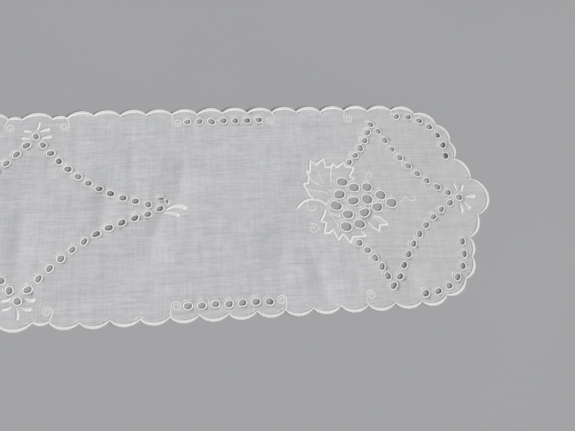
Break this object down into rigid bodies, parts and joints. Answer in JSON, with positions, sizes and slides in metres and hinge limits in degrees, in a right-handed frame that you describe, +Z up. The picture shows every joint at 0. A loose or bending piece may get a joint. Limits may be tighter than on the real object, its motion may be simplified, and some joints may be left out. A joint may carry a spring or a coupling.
{
  "type": "table runner",
  "caption": "Long flat linen runner with a scalloped, stitched edge, eyelet stars, eyelet rows and grape and vine leaf embroidery.",
  "frame": {"origin": "on the table under the middle of the runner, z = 0 at the surface it lies on", "axes": "+X along the runner towards one end, +Y across it, +Z up from the table"},
  "size_m": [0.914, 0.2192, 0.0012],
  "materials": {
    "linen": "matt plain-weave linen, off-white with a cool cast, visible slubs",
    "thread": "satin and overcast stitches in soft twisted cotton, slightly warmer and brighter than the linen, low sheen"
  },
  "bodies": {
    "root": {"centre_star_arm_back_left": "thread", "centre_star_arm_back_right": "thread", "centre_star_arm_front_left": "thread", "centre_star_arm_front_right": "thread", "corner_arc_back_left": "thread", "corner_arc_back_right": "thread", "corner_arc_front_left": "thread", "corner_arc_front_right": "thread", "end_star_inner_arm_back_left": "thread", "end_star_inner_arm_back_right": "thread", "end_star_inner_arm_front_left": "thread", "end_star_inner_arm_front_right": "thread", "end_star_outer_arm_back_left": "thread", "end_star_outer_arm_back_right": "thread", "end_star_outer_arm_front_left": "thread", "end_star_outer_arm_front_right": "thread", "grape_bunch_left": "thread", "grape_bunch_right": "thread", "ground_cloth": "linen", "leaf_tendril_left": "thread", "leaf_tendril_right": "thread", "lower_leaf_left": "thread", "lower_leaf_right": "thread", "petal_fan_centre_back": "thread", "petal_fan_centre_front": "thread", "petal_fan_end_left": "thread", "petal_fan_end_right": "thread", "petal_spray_centre_left": "thread", "petal_spray_centre_right": "thread", "scalloped_edging": "thread", "scroll_centre_back_left": "thread", "scroll_centre_back_right": "thread", "scroll_centre_front_left": "thread", "scroll_centre_front_right": "thread", "scroll_end_star_back_left": "thread", "scroll_end_star_back_right": "thread", "scroll_end_star_front_left": "thread", "scroll_end_star_front_right": "thread", "scroll_row_finish_back_left": "thread", "scroll_row_finish_back_right": "thread", "scroll_row_finish_front_left": "thread", "scroll_row_finish_front_right": "thread", "scroll_row_start_back_left": "thread", "scroll_row_start_back_right": "thread", "scroll_row_start_front_left": "thread", "scroll_row_start_front_right": "thread", "side_row_back_left": "thread", "side_row_back_right": "thread", "side_row_front_left": "thread", "side_row_front_right": "thread", "small_leaf_left": "thread", "small_leaf_right": "thread", "stem_left": "thread", "stem_right": "thread", "tip_tendril_left": "thread", "tip_tendril_right": "thread", "top_tendril_left": "thread", "top_tendril_right": "thread", "upper_leaf_left": "thread", "upper_leaf_right": "thread"}
  },
  "joints": []
}
